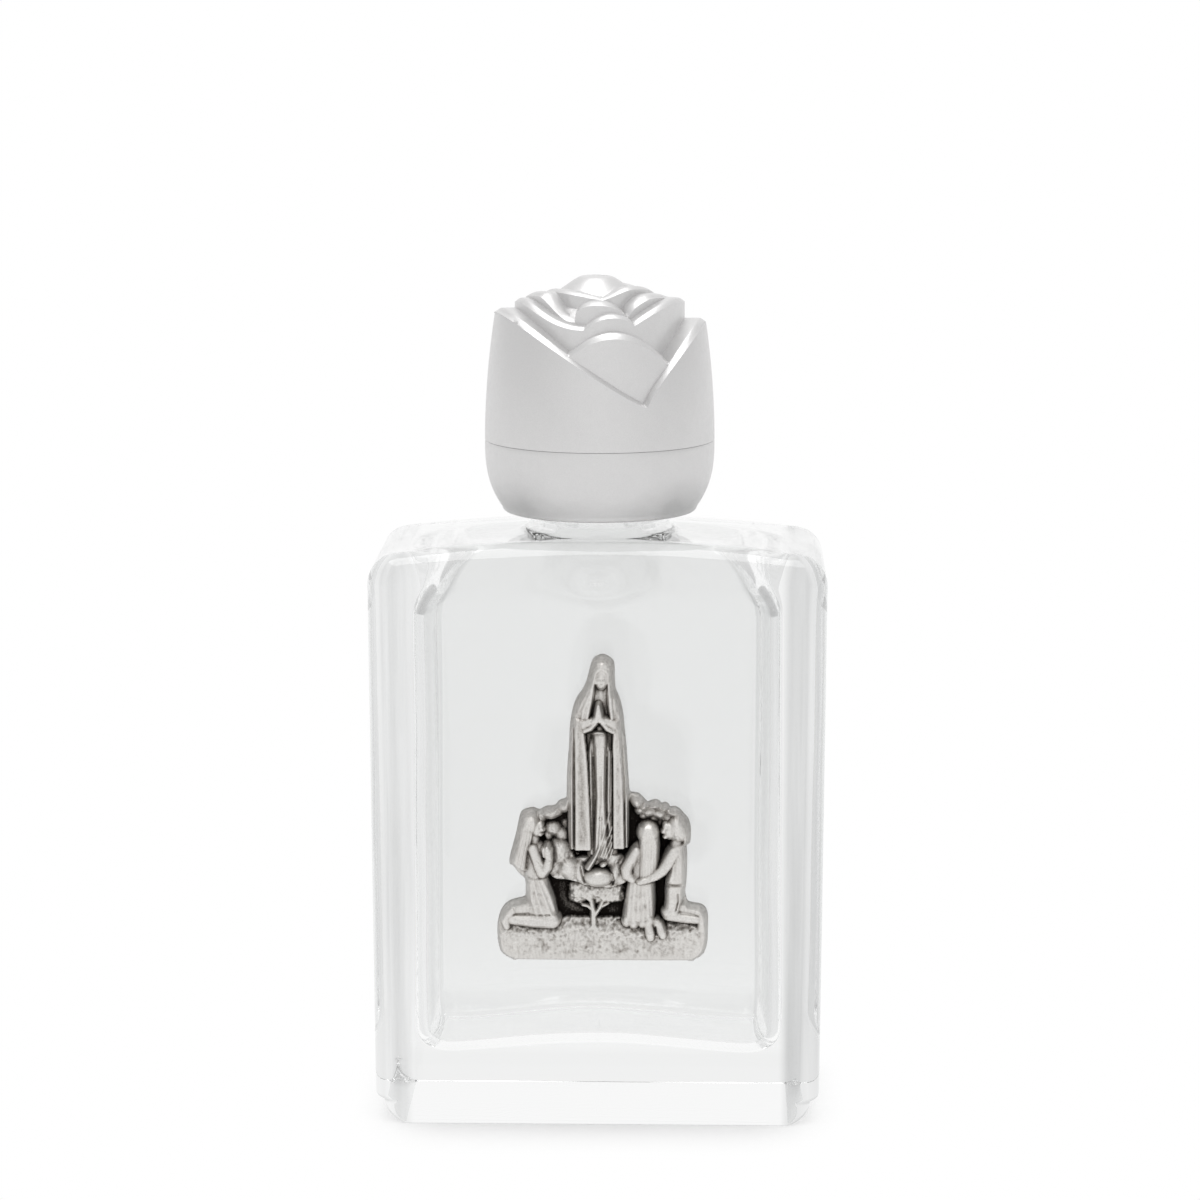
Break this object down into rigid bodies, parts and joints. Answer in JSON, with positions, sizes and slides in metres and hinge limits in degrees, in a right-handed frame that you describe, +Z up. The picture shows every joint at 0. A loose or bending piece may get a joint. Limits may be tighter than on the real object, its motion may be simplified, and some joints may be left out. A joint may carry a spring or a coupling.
{
  "type": "holy water bottle",
  "caption": "Small clear glass holy water bottle with a silver rose-shaped screw cap and a cast silver relief of a praying group on its front.",
  "frame": {"origin": "on the axis of the neck, in the plane the bottle stands on", "axes": "+Z up along the neck's axis, +X to the right seen from the front, the front with the relief faces -Y"},
  "size_m": [0.0374, 0.0232, 0.0693],
  "materials": {
    "clear_glass": "clear pressed soda-lime glass",
    "silver_plastic": "satin metallised silver",
    "white_plastic": "natural white moulded plastic",
    "liner_foam": "soft foamed liner",
    "antique_silver": "antique silver plated casting with dark recesses",
    "clear_adhesive": "clear set adhesive"
  },
  "bodies": {
    "bottle": {"glass_bottle": "clear_glass", "relief_plaque": "antique_silver", "plaque_adhesive": "clear_adhesive"},
    "liner": {"sealing_liner": "liner_foam"},
    "cap": {"cap_base_shell": "silver_plastic", "cap_rose_shell": "silver_plastic", "cap_thread_insert": "white_plastic"}
  },
  "joints": [
    {"name": "cap_lift", "type": "slide", "parent": "bottle", "child": "liner", "axis": [0, 0, 1], "range_m": [0, 0.0112]},
    {"name": "cap_turn", "type": "hinge", "parent": "liner", "child": "cap", "pos_m": [0, 0, 0.0586], "axis": [0, 0, 1], "range_deg": [0, 1890]}
  ],
  "couplings": [
    {"joint": "cap_lift", "follows": "cap_turn", "m_per_rad": 0.00033693}
  ]
}
